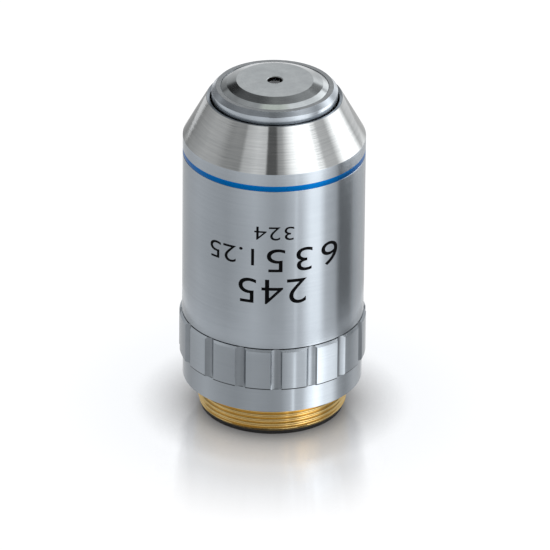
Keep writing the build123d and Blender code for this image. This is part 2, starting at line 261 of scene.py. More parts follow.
def startPiece(name):
    # What is left of a plane at the origin is one corner, ready to be drawn out
    deselectAll()
    bpy.ops.mesh.primitive_plane_add(size=mm)
    piece = bpy.context.object
    piece.name = name
    bpy.ops.object.mode_set(mode="EDIT")
    bpy.ops.mesh.select_all(action="SELECT")
    bpy.ops.mesh.merge(type="CENTER")
    return piece


def turnProfile(name, corners, steps):
    # Corners are (radius, height) in millimetres
    piece = startPiece(name)
    bpy.ops.transform.translate(value=(corners[0][0] * mm, 0, corners[0][1] * mm))
    loop = list(corners) + [corners[0]]
    for (fromRadius, fromHeight), (toRadius, toHeight) in zip(loop, loop[1:]):
        step = ((toRadius - fromRadius) * mm, 0, (toHeight - fromHeight) * mm)
        bpy.ops.mesh.extrude_region_move(TRANSFORM_OT_translate={"value": step})
    bpy.ops.mesh.select_all(action="SELECT")
    bpy.ops.mesh.remove_doubles(threshold=mergeGap)
    bpy.ops.mesh.spin(steps=steps, angle=2 * math.pi, center=(0, 0, 0), axis=(0, 0, 1))
    bpy.ops.mesh.select_all(action="SELECT")
    bpy.ops.mesh.remove_doubles(threshold=mergeGap)
    bpy.ops.mesh.normals_make_consistent(inside=False)
    bpy.ops.object.mode_set(mode="OBJECT")
    return piece


def roundedCorner(start, corner, end, steps):
    # Points of a soft curve from start to end, drawn towards the corner
    points = []
    for step in range(steps + 1):
        part = step / steps
        points.append(tuple(
            a * (1 - part) ** 2 + 2 * b * part * (1 - part) + c * part ** 2
            for a, b, c in zip(start, corner, end)))
    return points


def cutWith(piece, cutter):
    deselectAll()
    bpy.context.view_layer.objects.active = piece
    piece.select_set(True)
    cut = piece.modifiers.new("cut", "BOOLEAN")
    cut.operation = "DIFFERENCE"
    cut.solver = "EXACT"
    cut.object = cutter
    bpy.ops.object.modifier_apply(modifier="cut")
    bpy.data.objects.remove(cutter)


edgeFinish = {"segments": 2, "bevelOver": 25, "smoothUnder": 6}


def finishPiece(piece, edgeBreak, smoothUnder=edgeFinish["smoothUnder"]):
    # Real edges are broken, then flat faces are kept flat to the eye
    deselectAll()
    bpy.context.view_layer.objects.active = piece
    piece.select_set(True)
    if edgeBreak:
        bevel = piece.modifiers.new("edges", "BEVEL")
        bevel.width = edgeBreak * mm
        bevel.segments = edgeFinish["segments"]
        bevel.limit_method = "ANGLE"
        bevel.angle_limit = math.radians(edgeFinish["bevelOver"])
        bpy.ops.object.modifier_apply(modifier="edges")
    bpy.ops.object.shade_smooth_by_angle(angle=math.radians(smoothUnder))
    weighted = piece.modifiers.new("flats", "WEIGHTED_NORMAL")
    weighted.keep_sharp = True
    bpy.ops.object.modifier_apply(modifier="flats")


def dress(piece, materials, body, slot, *nodes):
    piece.data.materials.clear()
    for material in materials:
        piece.data.materials.append(material)
    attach(piece, body)
    if nodes:
        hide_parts(*nodes)


# Outer sleeve: satin barrel, groove for the blue ring, bright cone and narrow dished lip
outerSleeve = {
    "wall": 1.48, "skirtWall": 0.7, "skirtLength": 3.5, "coneHeight": 5.7, "lipRadius": 9.24,
    "lipBore": 8.78, "lipDepth": 1.2, "lipRound": 0.08, "lipDish": 0.15, "grooveDepth": 0.15,
    "lipSteps": 5, "smoothUnder": 9, "edgeBreak": 0.03, "steps": 256}
sleeveRadius = radiusOf("outer_sleeve") / mm
sleeveFoot = footOf("outer_sleeve") / mm
lipHeight = topOf("outer_sleeve") / mm
coneBase = lipHeight - outerSleeve["coneHeight"]
bandFoot, bandTop = footOf("colour_ring") / mm, topOf("colour_ring") / mm
barrelFoot = sleeveFoot + outerSleeve["skirtLength"]


def makeOuterSleeve():
    size = outerSleeve
    bore = sleeveRadius - size["wall"]
    skirt = bore + size["skirtWall"]
    floor = sleeveRadius - size["grooveDepth"]
    lean = (sleeveRadius - size["lipRadius"]) / size["coneHeight"]
    drop = size["lipRound"]
    dish = size["lipDish"] / (size["lipRadius"] - size["lipBore"])
    lip = roundedCorner(
        (size["lipRadius"] + drop * lean, lipHeight - drop), (size["lipRadius"], lipHeight),
        (size["lipRadius"] - drop, lipHeight - drop * dish), size["lipSteps"])
    piece = turnProfile("outerSleeve", [
        (bore, sleeveFoot), (skirt, sleeveFoot), (skirt, barrelFoot), (sleeveRadius, barrelFoot),
        (sleeveRadius, bandFoot), (floor, bandFoot), (floor, bandTop), (sleeveRadius, bandTop),
        (sleeveRadius, coneBase)] + lip + [
        (size["lipBore"], lipHeight - size["lipDish"]),
        (size["lipBore"], lipHeight - size["lipDepth"]), (bore, coneBase)], size["steps"])
    finishPiece(piece, size["edgeBreak"], size["smoothUnder"])
    dress(piece, [satinPlate, brightCone], "housing", "satin_plate", "outer_sleeve")
    for face in piece.data.polygons:
        outward = face.normal.x * face.center.x + face.normal.y * face.center.y > 0
        face.material_index = int(outward and face.center.z > (coneBase + hair) * mm)


# Blue ring, a little crowned where the enamel has set
colourRing = {"crown": 0.03, "gap": 0.004, "smoothUnder": 40, "steps": 256}


def makeColourRing():
    outer = radiusOf("colour_ring") / mm
    floor = sleeveRadius - outerSleeve["grooveDepth"]
    gap = colourRing["gap"]
    low, high = bandFoot + gap, bandTop - gap
    edge = outer - colourRing["crown"]
    middle = (low + high) / 2
    quarter = (high - low) / 4
    shoulder = outer - colourRing["crown"] / 4  # halfway out, a parabola has dropped a quarter
    piece = turnProfile("colourRing", [
        (floor + gap, low), (edge, low), (shoulder, middle - quarter), (outer, middle),
        (shoulder, middle + quarter), (edge, high), (floor + gap, high)], colourRing["steps"])
    finishPiece(piece, 0, colourRing["smoothUnder"])
    dress(piece, [blueEnamel], "housing", "blue_enamel", "colour_ring")


# Grip ring: pads between round-bottomed flutes, the pads' top edge chamfered
gripRing = {
    "flutes": 16, "fluteTurn": 2.55, "fluteDepth": 0.45, "cutterRadius": 0.95, "chamfer": 0.3,
    "bore": 10.91, "counterbore": 11.64, "skirtFoot": 10.96, "footChamfer": 0.1, "edgeBreak": 0.02,
    "steps": 256, "cutterSteps": 96, "cutterSpare": 2, "fluteZone": 0.5, "padEdge": 0.02,
    "margin": 0.01, "upright": 0.1}


def makeGripRing():
    size = gripRing
    outer = radiusOf("grip_ring") / mm
    foot, top = footOf("grip_ring") / mm, topOf("grip_ring") / mm
    piece = turnProfile("gripRing", [
        (size["bore"], foot), (outer - size["footChamfer"], foot),
        (outer, foot + 2 * size["footChamfer"]),
        (outer, top - size["chamfer"]), (outer - size["chamfer"], top), (size["counterbore"], top),
        (size["counterbore"], size["skirtFoot"]), (size["bore"], size["skirtFoot"])], size["steps"])
    reach = outer - size["fluteDepth"] + size["cutterRadius"]
    deselectAll()
    bpy.ops.mesh.primitive_cylinder_add(
        vertices=size["cutterSteps"], radius=size["cutterRadius"] * mm,
        depth=(top - foot + size["cutterSpare"]) * mm)
    cutter = bpy.context.object
    bpy.ops.object.mode_set(mode="EDIT")
    bpy.ops.mesh.select_all(action="SELECT")
    bpy.ops.transform.translate(value=(0, -reach * mm, (foot + top) / 2 * mm))
    turn = math.radians(size["fluteTurn"])
    bpy.ops.transform.rotate(value=-turn, orient_axis="Z", center_override=(0, 0, 0))
    for flute in range(size["flutes"] - 1):
        bpy.ops.mesh.duplicate()
        bpy.ops.transform.rotate(
            value=-2 * math.pi / size["flutes"], orient_axis="Z", center_override=(0, 0, 0))
    bpy.ops.object.mode_set(mode="OBJECT")
    cutWith(piece, cutter)
    finishPiece(piece, size["edgeBreak"])
    dress(piece, [satinPlate, milledFlute, paintedJointShade], "housing", "satin_plate", "grip_ring")
    margin = size["margin"]
    paintedShadeTop = foot + 2 * size["footChamfer"] + margin
    for face in piece.data.polygons:
        reach = math.hypot(face.center.x, face.center.y) / mm
        height = face.center.z / mm
        nearRim = reach > outer - size["fluteZone"]
        inFlute = foot < height < top - margin and nearRim and reach < outer - size["padEdge"]
        if inFlute and abs(face.normal.z) < size["upright"]:
            face.material_index = 1
        # The foot of the grip ring is painted dark, as painted shade in the joint
        if height < paintedShadeTop and nearRim:
            face.material_index = 2


# Base ring: plain band whose underside is the shoulder
baseRing = {
    "bore": 10.91, "seatBore": 10.2, "lip": 1.2, "joint": 0.1, "slant": 0.2, "edgeBreak": 0.03,
    "steps": 256}


def makeBaseRing():
    size = baseRing
    outer = radiusOf("base_ring") / mm
    foot, top = footOf("base_ring") / mm, topOf("base_ring") / mm
    seat = foot + size["lip"]
    joint = size["joint"]
    piece = turnProfile("baseRing", [
        (size["seatBore"], foot), (outer, foot), (outer, top - joint), (outer - joint, top),
        (size["bore"], top), (size["bore"], seat), (size["seatBore"], seat)], size["steps"])
    finishPiece(piece, size["edgeBreak"])
    dress(piece, [satinPlate, paintedJointShade], "housing", "satin_plate", "base_ring")
    # The chamfer at the top of the base ring is painted dark, as painted shade in the joint
    for face in piece.data.polygons:
        slanted = face.normal.z > size["slant"]
        face.material_index = int(slanted and face.center.z > (top - joint + hair) * mm)


# Mount tube with its objective thread: 36 threads to the inch, 55 degree form, rounded
mountTube = {
    "crest": 10.16, "pitch": 25.4 / 36, "threadDepth": 0.36, "threadTop": 4.17, "crestFlat": 0.16,
    "rounding": 0.5, "reliefRadius": 9.6, "startDepth": 0.4, "shoulder": 4.75, "seatRadius": 10.18,
    "seat": 5.95, "outer": 10.89, "rearBore": 7.0, "spigotBore": 7.92, "spigotTop": 2.62,
    "springSeat": 6.35, "bore": 8.59, "counterbore": 10.03, "counterboreFoot": 31.24, "rows": 66,
    "steps": 240, "margin": 0.001, "guideHole": 0.62, "guideHeight": 33.79, "guideDepth": 4,
    "guideSteps": 32, "smoothUnder": 60}


def threadRadius(angle, height, crest):
    size = mountTube
    turnPart = (height / size["pitch"] - angle / (2 * math.pi)) % 1.0
    flank = abs(turnPart - 0.5) * 2
    flat = size["crestFlat"]
    rise = min(max((flank - flat) / (1 - 2 * flat), 0.0), 1.0)
    rounded = rise * rise * (3 - 2 * rise)
    soft = size["rounding"]
    return crest - size["threadDepth"] * ((1 - soft) * rise + soft * rounded)


def makeMountTube():
    size = mountTube
    crest = size["crest"]
    foot, top = footOf("mount_tube") / mm, topOf("mount_tube") / mm
    rows = size["rows"]
    rowHeight = (size["threadTop"] - foot) / rows
    threadRows = [(crest, foot + row * rowHeight) for row in range(rows + 1)]
    piece = turnProfile("mountTube", [(size["spigotBore"], foot)] + threadRows + [
        (size["reliefRadius"], size["threadTop"]), (size["reliefRadius"], size["shoulder"]),
        (size["seatRadius"], size["shoulder"]), (size["seatRadius"], size["seat"]),
        (size["outer"], size["seat"]), (size["outer"], top), (size["counterbore"], top),
        (size["counterbore"], size["counterboreFoot"]), (size["bore"], size["counterboreFoot"]),
        (size["bore"], size["springSeat"]), (size["rearBore"], size["springSeat"]),
        (size["rearBore"], size["spigotTop"]), (size["spigotBore"], size["spigotTop"])],
        size["steps"])
    margin = size["margin"]
    for vertex in piece.data.vertices:
        radius = math.hypot(vertex.co.x, vertex.co.y) / mm
        height = vertex.co.z / mm
        if abs(radius - crest) < margin and height < size["threadTop"] + margin:
            angle = math.atan2(vertex.co.y, vertex.co.x)
            started = max(crest - size["startDepth"] + (height - foot), crest - size["threadDepth"])
            wanted = min(threadRadius(angle, height, crest), started)
            vertex.co.x *= wanted / radius
            vertex.co.y *= wanted / radius
    deselectAll()
    bpy.ops.mesh.primitive_cylinder_add(
        vertices=size["guideSteps"], radius=size["guideHole"] * mm, depth=size["guideDepth"] * mm)
    cutter = bpy.context.object
    bpy.ops.object.mode_set(mode="EDIT")
    bpy.ops.mesh.select_all(action="SELECT")
    bpy.ops.transform.rotate(value=math.pi / 2, orient_axis="X", center_override=(0, 0, 0))
    bpy.ops.transform.translate(value=(0, size["outer"] * mm, size["guideHeight"] * mm))
    bpy.ops.object.mode_set(mode="OBJECT")
    cutWith(piece, cutter)
    finishPiece(piece, 0, size["smoothUnder"])
    dress(piece, [threadBrass], "housing", "turned_brass", "mount_tube")


# Rear ring: black, with two slots for a pin spanner
rearRing = {
    "bore": 7.0, "height": 0.55, "spigot": 7.9, "slotReach": 8.95, "slotWidth": 1.2,
    "slotDepth": 0.35, "edgeBreak": 0.05, "steps": 192}


def makeRearRing():
    size = rearRing
    outer, top = radiusOf("rear_ring") / mm, topOf("rear_ring") / mm
    piece = turnProfile("rearRing", [
        (size["bore"], 0), (outer, 0), (outer, size["height"]), (size["spigot"], size["height"]),
        (size["spigot"], top), (size["bore"], top)], size["steps"])
    deselectAll()
    bpy.ops.mesh.primitive_cube_add(size=mm)
    cutter = bpy.context.object
    bpy.ops.object.mode_set(mode="EDIT")
    bpy.ops.mesh.select_all(action="SELECT")
    bpy.ops.transform.resize(
        value=(2 * size["slotReach"], size["slotWidth"], 2 * size["slotDepth"]))
    bpy.ops.object.mode_set(mode="OBJECT")
    cutWith(piece, cutter)
    finishPiece(piece, size["edgeBreak"])
    dress(piece, [blackAnodised], "housing", "black_anodised", "rear_ring")


# Nose ring: chamfered rim round the front cell
noseRing = {
    "chamferWidth": 0.57, "chamferHeight": 0.61, "cellRadius": 7.3, "slip": 0.02, "neck": 7.98,
    "flangeDepth": 2.25, "rimDepth": 0.05, "level": 0.9, "edgeBreak": 0.035, "steps": 256}


def makeNoseRing():
    size = noseRing
    outer = radiusOf("nose_ring") / mm
    foot, top = footOf("nose_ring") / mm, topOf("nose_ring") / mm
    neckTop = top - size["flangeDepth"]
    neck = size["neck"] + size["slip"]
    bore = size["cellRadius"] + size["slip"]
    piece = turnProfile("noseRing", [
        (neck, foot), (outer, foot), (outer, top - size["chamferHeight"]),
        (outer - size["chamferWidth"], top), (bore, top), (bore, neckTop), (neck, neckTop)],
        size["steps"])
    finishPiece(piece, size["edgeBreak"])
    dress(piece, [satinPlate, rimPaintedShade], "nose_unit", "satin_plate", "nose_ring")
    # The flat rim gets the darker material, as painted shade
    for face in piece.data.polygons:
        level = face.normal.z > size["level"]
        face.material_index = int(level and face.center.z > (top - size["rimDepth"]) * mm)


# Front cell: slope, bevel, faced end and the small hole in front of the lens
frontCell = {
    "holeRadius": 1.0, "holeChamfer": 0.12, "plate": 0.35, "faceRadius": 5.21, "bevelRadius": 6.54,
    "bevelRise": 0.52, "slopeRise": 0.43, "spigotRadius": 6.88, "spigotLength": 1.0, "flare": 4.2,
    "bore": 2.62, "boreLength": 2.05, "edgeBreak": 0.04, "steps": 256}


def makeFrontCell():
    size = frontCell
    outer = radiusOf("front_cell") / mm
    foot, top = footOf("front_cell") / mm, topOf("front_cell") / mm
    bevelHeight = top - size["bevelRise"]
    slopeHeight = bevelHeight - size["slopeRise"]
    neckTop = foot + size["spigotLength"]
    lensTop = top - size["plate"]
    piece = turnProfile("frontCell", [
        (size["holeRadius"], lensTop), (size["holeRadius"], top - size["holeChamfer"]),
        (size["holeRadius"] + size["holeChamfer"], top), (size["faceRadius"], top),
        (size["bevelRadius"], bevelHeight), (outer, slopeHeight), (outer, neckTop),
        (size["spigotRadius"], neckTop), (size["spigotRadius"], foot), (size["flare"], foot),
        (size["bore"], lensTop - size["boreLength"]), (size["bore"], lensTop)], size["steps"])
    finishPiece(piece, size["edgeBreak"])
    dress(piece, [facedPlate, blackenedBrass], "nose_unit", "satin_plate", "front_cell")
    # The hole and the bore behind it are blackened
    for face in piece.data.polygons:
        inward = face.normal.x * face.center.x + face.normal.y * face.center.y < 0
        face.material_index = int(inward and face.center.z < (top - size["holeChamfer"] / 2) * mm)


# Retraction spring: square wire with ground ends. The real one shortens as the nose goes in; this
# one keeps its length
retractionSpring = {"wire": 0.7, "turns": 4, "travel": 2.0, "steps": 64}


def makeRetractionSpring():
    size = retractionSpring
    foot, top = footOf("retraction_spring") / mm, topOf("retraction_spring") / mm
    middle = radiusOf("retraction_spring") / mm - size["wire"] / 2
    deselectAll()
    bpy.ops.mesh.primitive_plane_add(size=size["wire"] * mm)
    piece = bpy.context.object
    piece.name = "retractionSpring"
    bpy.ops.object.mode_set(mode="EDIT")
    bpy.ops.mesh.select_all(action="SELECT")
    bpy.ops.transform.rotate(value=math.pi / 2, orient_axis="X", center_override=(0, 0, 0))
    bpy.ops.transform.translate(value=(middle * mm, 0, foot * mm))
    bpy.ops.mesh.delete(type="ONLY_FACE")
    bpy.ops.object.mode_set(mode="OBJECT")
    coil = piece.modifiers.new("coil", "SCREW")
    coil.screw_offset = (top - foot) / size["turns"] * mm
    coil.iterations = size["turns"]
    coil.steps = coil.render_steps = size["steps"]
    bpy.ops.object.modifier_apply(modifier="coil")
    bpy.ops.object.mode_set(mode="EDIT")
    bpy.ops.mesh.select_all(action="SELECT")
    bpy.ops.mesh.remove_doubles(threshold=mergeGap)
    bpy.ops.mesh.fill_holes(sides=4)
    bpy.ops.mesh.select_all(action="SELECT")
    bpy.ops.mesh.normals_make_consistent(inside=False)
    bpy.ops.object.mode_set(mode="OBJECT")
    # Both ends are ground flat
    for vertex in piece.data.vertices:
        vertex.co.z = min(max(vertex.co.z, foot * mm), top * mm)
    finishPiece(piece, 0)
    dress(piece, [drawnSteel], "housing", "steel", "retraction_spring")
    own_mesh(piece)


# Plain numbers, upside down when the nose is up, as on any objective
barrelNumbers = {
    "lift": 0.012, "thickness": 0.02, "weight": -0.005, "slice": 0.25, "curveSteps": 12,
    "lines": [
        {"text": "245", "tall": 3.75, "height": 23.2, "from": 21.5, "to": -22, "spacing": 1.05},
        {"text": "635", "tall": 3.5, "height": 27.9, "from": 44, "to": -4, "spacing": 1.2},
        {"text": "1.25", "tall": 2.55, "height": 28.3, "from": -12, "to": -43, "spacing": 1.0},
        {"text": "324", "tall": 2.0, "height": 32.0, "from": 13, "to": -12, "spacing": 1.05}]}


def makeNumber(line):
    # The text is made a mesh, sliced upright, and then wrapped round the barrel
    size = barrelNumbers
    deselectAll()
    bpy.ops.object.text_add()
    words = bpy.context.object
    words.data.body = line["text"]
    words.data.offset = size["weight"]
    words.data.space_character = line["spacing"]
    words.data.resolution_u = size["curveSteps"]
    bpy.ops.object.convert(target="MESH")
    words = bpy.context.object
    across = [vertex.co.x for vertex in words.data.vertices]
    upward = [vertex.co.y for vertex in words.data.vertices]
    left, right = min(across), max(across)
    low, high = min(upward), max(upward)
    radius = (sleeveRadius + size["lift"]) * mm
    wide = math.radians(line["from"] - line["to"]) * radius
    tall = line["tall"] * mm
    bpy.ops.object.mode_set(mode="EDIT")
    bpy.ops.mesh.select_all(action="SELECT")
    bpy.ops.transform.translate(value=(-left, -low, 0))
    bpy.ops.transform.resize(
        value=(wide / (right - left), tall / (high - low), 1), center_override=(0, 0, 0))
    bpy.ops.mesh.remove_doubles(threshold=mergeGap)
    slices = int(wide / (size["slice"] * mm))
    for cut in range(1, slices):
        bpy.ops.mesh.select_all(action="SELECT")
        bpy.ops.mesh.bisect(plane_co=(wide * cut / slices, 0, 0), plane_no=(1, 0, 0))
    bpy.ops.object.mode_set(mode="OBJECT")
    for vertex in words.data.vertices:
        angle = math.radians(line["from"]) - vertex.co.x / radius
        height = line["height"] * mm + tall / 2 - vertex.co.y
        vertex.co = Vector((math.sin(angle) * radius, -math.cos(angle) * radius, height))
    return words


def makeBarrelNumbers():
    size = barrelNumbers
    pieces = [makeNumber(line) for line in size["lines"]]
    deselectAll()
    for words in pieces:
        words.select_set(True)
    bpy.context.view_layer.objects.active = pieces[0]
    bpy.ops.object.join()
    piece = bpy.context.object
    piece.name = "barrelNumbers"
    thick = piece.modifiers.new("thick", "SOLIDIFY")
    thick.thickness = size["thickness"] * mm
    thick.offset = 0
    bpy.ops.object.modifier_apply(modifier="thick")
    bpy.ops.object.mode_set(mode="EDIT")
    bpy.ops.mesh.select_all(action="SELECT")
    bpy.ops.mesh.normals_make_consistent(inside=False)
    bpy.ops.object.mode_set(mode="OBJECT")
    dress(piece, [blackFill], "housing", "black_anodised")


makeOuterSleeve()
makeColourRing()
makeGripRing()
makeBaseRing()
print("sleeve and rings made")
makeMountTube()
makeRearRing()
print("mount made")
makeNoseRing()
makeFrontCell()
print("nose made")
makeRetractionSpring()
print("spring made")
makeBarrelNumbers()
print("numbers made")

# Inner pieces keep their CAD shape
innerFinishes = {
    "blackenedBrass": (blackenedBrass, [
        "lens_barrel", "second_cell", "doublet_1_cell", "doublet_2_cell", "rear_cell",
        "lock_ring"]),
    "blackAnodised": (blackAnodised, ["spacer_tube", "aperture_stop"]),
    "threadBrass": (threadBrass, ["stop_ring"]),
    "drawnSteel": (drawnSteel, ["guide_screw"]),
    "lensGlass": (lensGlass, [
        "front_lens", "second_lens", "doublet_1_crown", "doublet_1_flint", "doublet_2_flint",
        "doublet_2_crown", "rear_flint", "rear_crown"])}
for material, nodes in innerFinishes.values():
    for node in nodes:
        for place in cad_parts[node].material_slots:
            place.material = material
print("inner pieces dressed")

# Floor: white, polished where the object stands, with a painted contact shadow round it
floorPlate = {
    "size": 6.0, "colour": "#7E7E80", "roughness": 0.9, "lift": 0.84, "contact": 9,
    "contactPower": 2.1,
    "polish": 0.44, "polishStart": 6, "polishFull": 22, "polishFrom": 14, "polishTo": 39,
    "mirror": "#EFF4FA", "spreadAlong": 0.2, "spreadAcross": 0.015, "samples": 8, "steps": 128}


def makeFloor():
    size = floorPlate
    deselectAll()
    bpy.ops.mesh.primitive_circle_add(
        vertices=size["steps"], radius=size["size"] / 2, fill_type="NGON")
    floor = bpy.context.object
    floor.name = "studioFloor"
    material, tree = newMaterial("whiteFloor")
    rays = addNode(tree, "ShaderNodeLightPath")
    seen = addNode(tree, "ShaderNodeMath", {"operation": "MAXIMUM"}, {
        0: rays.outputs["Is Camera Ray"], 1: rays.outputs["Is Glossy Ray"]})
    seen = addNode(tree, "ShaderNodeMath", {"operation": "MAXIMUM"}, {
        0: seen.outputs[0], 1: rays.outputs["Is Transmission Ray"]})
    # Painted shadow: the floor's glow is dimmed by ambient occlusion near the object
    openness = addNode(tree, "ShaderNodeAmbientOcclusion", {
        "samples": size["samples"], "Distance": size["contact"] * mm})
    contact = addNode(tree, "ShaderNodeMath", {"operation": "POWER", 1: size["contactPower"]}, {
        0: openness.outputs["AO"]})
    lift = addNode(tree, "ShaderNodeMath", {"operation": "MULTIPLY", 1: size["lift"]}, {
        0: contact.outputs[0]})
    lift = addNode(tree, "ShaderNodeMath", {"operation": "MULTIPLY"}, {
        0: lift.outputs[0], 1: seen.outputs[0]})
    white = addNode(tree, "ShaderNodeBsdfPrincipled", {
        "Base Color": linearColour(size["colour"]), "Roughness": size["roughness"],
        "Specular IOR Level": 0.0, "Emission Color": (1, 1, 1, 1)}, {
        "Emission Strength": lift.outputs[0]})
    place = addNode(tree, "ShaderNodeTexCoord").outputs["Object"]
    reach = addNode(tree, "ShaderNodeVectorMath", {"operation": "LENGTH"}, {0: place})
    rise = addNode(tree, "ShaderNodeMapRange", {
        "interpolation_type": "SMOOTHSTEP", "From Min": size["polishStart"] * mm,
        "From Max": size["polishFull"] * mm}, {"Value": reach.outputs["Value"]})
    fall = addNode(tree, "ShaderNodeMapRange", {
        "interpolation_type": "SMOOTHSTEP", "From Min": size["polishFrom"] * mm,
        "From Max": size["polishTo"] * mm, "To Min": size["polish"], "To Max": 0.0}, {
        "Value": reach.outputs["Value"]})
    polish = addNode(tree, "ShaderNodeMath", {"operation": "MULTIPLY"}, {
        0: rise.outputs[0], 1: fall.outputs[0]})
    # The mirror's normals are scattered, more along the reflection than across it
    chance = addNode(tree, "ShaderNodeTexWhiteNoise", {"noise_dimensions": "3D"}, {"Vector": place})
    spread = addNode(tree, "ShaderNodeSeparateXYZ", {}, {0: chance.outputs["Color"]})
    away = addNode(tree, "ShaderNodeVectorMath", {"operation": "NORMALIZE"}, {0: place})
    side = addNode(tree, "ShaderNodeVectorMath", {"operation": "CROSS_PRODUCT", 1: (0, 0, 1)}, {
        0: away.outputs[0]})
    lean = None
    scatter = [("X", away, size["spreadAlong"]), ("Y", side, size["spreadAcross"])]
    for part, direction, amount in scatter:
        much = addNode(tree, "ShaderNodeMapRange", {"To Min": -amount / 2, "To Max": amount / 2}, {
            "Value": spread.outputs[part]})
        step = addNode(tree, "ShaderNodeVectorMath", {"operation": "SCALE"}, {
            0: direction.outputs[0], "Scale": much.outputs[0]})
        if lean is None:
            lean = addNode(tree, "ShaderNodeVectorMath", {"operation": "ADD", 1: (0, 0, 1)}, {
                0: step.outputs[0]})
        else:
            lean = addNode(tree, "ShaderNodeVectorMath", {"operation": "ADD"}, {
                0: lean.outputs[0], 1: step.outputs[0]})
    upright = addNode(tree, "ShaderNodeVectorMath", {"operation": "NORMALIZE"}, {
        0: lean.outputs[0]})
    mirror = addNode(tree, "ShaderNodeBsdfGlossy", {
        "Roughness": 0.0, "Color": linearColour(size["mirror"])}, {"Normal": upright.outputs[0]})
    polished = addNode(tree, "ShaderNodeMixShader", {}, {
        0: polish.outputs[0], 1: white.outputs[0], 2: mirror.outputs[0]})
    # Nothing of the floor is seen from below
    clear = addNode(tree, "ShaderNodeBsdfTransparent")
    under = addNode(tree, "ShaderNodeNewGeometry")
    both = addNode(tree, "ShaderNodeMixShader", {}, {
        0: under.outputs["Backfacing"], 1: polished.outputs[0], 2: clear.outputs[0]})
    addNode(tree, "ShaderNodeOutputMaterial", {}, {"Surface": both.outputs[0]})
    floor.data.materials.append(material)


# Studio cards and flags: azimuth from the front, positive to the right, and brightness
studioRings = {
    "low": [
        (-180, 0.92), (-166, 0.68), (-157, 0.38), (-136, 0.36), (-124, 0.55), (-100, 0.75),
        (-81, 0.72), (-59, 0.52), (-46, 0.48), (-42, 0.85), (-24, 1.2), (-11, 1.05), (-9.5, 0.18),
        (3.5, 0.18), (5, 0.5), (12, 0.7), (24, 2.0), (36, 2.8), (62, 2.8), (68, 1.0), (84, 0.85),
        (98, 2.8), (120, 2.6), (130, 0.9), (142, 1.2), (156, 1.7), (166, 0.9), (180, 0.92)],
    "middle": [
        (-180, 0.92), (-168, 0.5), (-158, 0.05), (-150, 0.0), (-145, 0.5), (-138, 0.5), (-129, 0.6),
        (-118, 0.3), (-71, 0.28), (-60, 0.5), (-46, 0.48), (-42, 0.85), (-24, 1.2), (-11, 1.05),
        (-9.5, 0.18), (3.5, 0.18), (5, 0.5), (12, 0.7), (24, 2.0), (36, 2.8), (56, 2.8), (62, 1.2),
        (71, 0.86), (82, 0.48), (96, 0.52), (106, 1.1), (118, 2.2), (126, 1.6), (138, 1.6),
        (145.5, 2.6), (149, 0.12), (156, 0.35), (168, 0.7), (180, 0.92)],
    "high": [
        (-180, 0.29), (-150, 0.1), (-120, 0.67), (-60, 0.36), (0, 0.3), (40, 0.42), (80, 1.0),
        (120, 1.5), (138, 1.1), (150, 0.3), (180, 0.29)]}
studioDome = {
    "radius": 0.6, "peak": 4.0, "lowTop": (25, 29), "middleTop": (44, 50), "highTop": (74, 82),
    "overhead": 1.1, "overheadTint": "#FBFFF4", "rings": 64, "steps": 180}
# Glowing tents round the object, seen only in glossy reflections: painted reflections, with
# brightness by the angle on the metal where each is seen
reflectionTents = {
    "peak": 4.0, "behind": 1.0, "steps": 180,
    "upperTent": {
        "radius": 30, "foot": 5, "top": 32.5, "seenOn": 12.4, "ring": [
            (-90, 1.0), (-84, 0.84), (-78, 0.64), (-66, 0.66), (-54, 0.77), (-42, 0.69),
            (-30, 0.63), (-12, 0.88), (0, 0.7), (6, 0.73), (13.5, 1.05), (14.5, 1.5), (15.5, 1.05),
            (18, 1.1), (24, 1.95), (30, 1.95), (35, 0.98), (43, 0.75), (45.6, 0.24), (56.6, 0.24),
            (60, 0.55), (66, 0.7), (78, 0.7), (90, 0.65)]},
    "noseTent": {
        "radius": 30, "foot": 32.6, "top": 39.5, "seenOn": 8.55, "ring": [
            (-90, 0.5), (-72, 0.4), (-66, 0.7), (-54, 1.2), (-30, 0.95), (-12, 1.2), (0, 0.95),
            (12, 1.45), (24, 2.6), (31, 2.4), (38, 1.0), (42, 0.8), (48, 3.3), (60, 3.8), (66, 1.7),
            (74, 0.7), (84, 0.55), (90, 0.8)]},
    "lowerTent": {
        "radius": 16, "foot": 0.3, "top": 12.4, "seenOn": 12.6, "ring": [
            (-90, 0.85), (-78, 0.62), (-66, 0.56), (-48, 0.77), (-36, 0.62), (-24, 0.57),
            (-12, 0.66), (0, 0.58), (6, 0.64), (12.4, 1.05), (13.8, 1.8), (15.2, 1.05), (20, 1.1),
            (24, 1.95), (30, 2.8), (36, 1.95), (42, 1.7), (48, 0.72), (54, 0.5), (66, 0.78),
            (78, 0.66), (90, 1.2)]}}
whiteWorld = {"strength": 1.0}


def addRing(tree, place, stops, peak):
    # Brightness by azimuth, as a curve through the stops
    ring = addNode(tree, "ShaderNodeFloatCurve", {}, {"Value": place.outputs[0]})
    points = ring.mapping.curves[0].points
    for index, (angle, light) in enumerate(stops):
        across = (angle + 180) / 360
        if index in (0, len(stops) - 1):
            point = points[0 if index == 0 else len(points) - 1]
            point.location = (across, light / peak)
        else:
            point = points.new(across, light / peak)
        point.handle_type = "VECTOR"
    ring.mapping.update()
    return ring


def addAzimuth(tree, parts):
    front = addNode(tree, "ShaderNodeMath", {"operation": "MULTIPLY", 1: -1.0}, {
        0: parts.outputs["Y"]})
    angle = addNode(tree, "ShaderNodeMath", {"operation": "ARCTAN2"}, {
        0: parts.outputs["X"], 1: front.outputs[0]})
    return addNode(tree, "ShaderNodeMapRange", {"From Min": -math.pi, "From Max": math.pi}, {
        "Value": angle.outputs[0]})


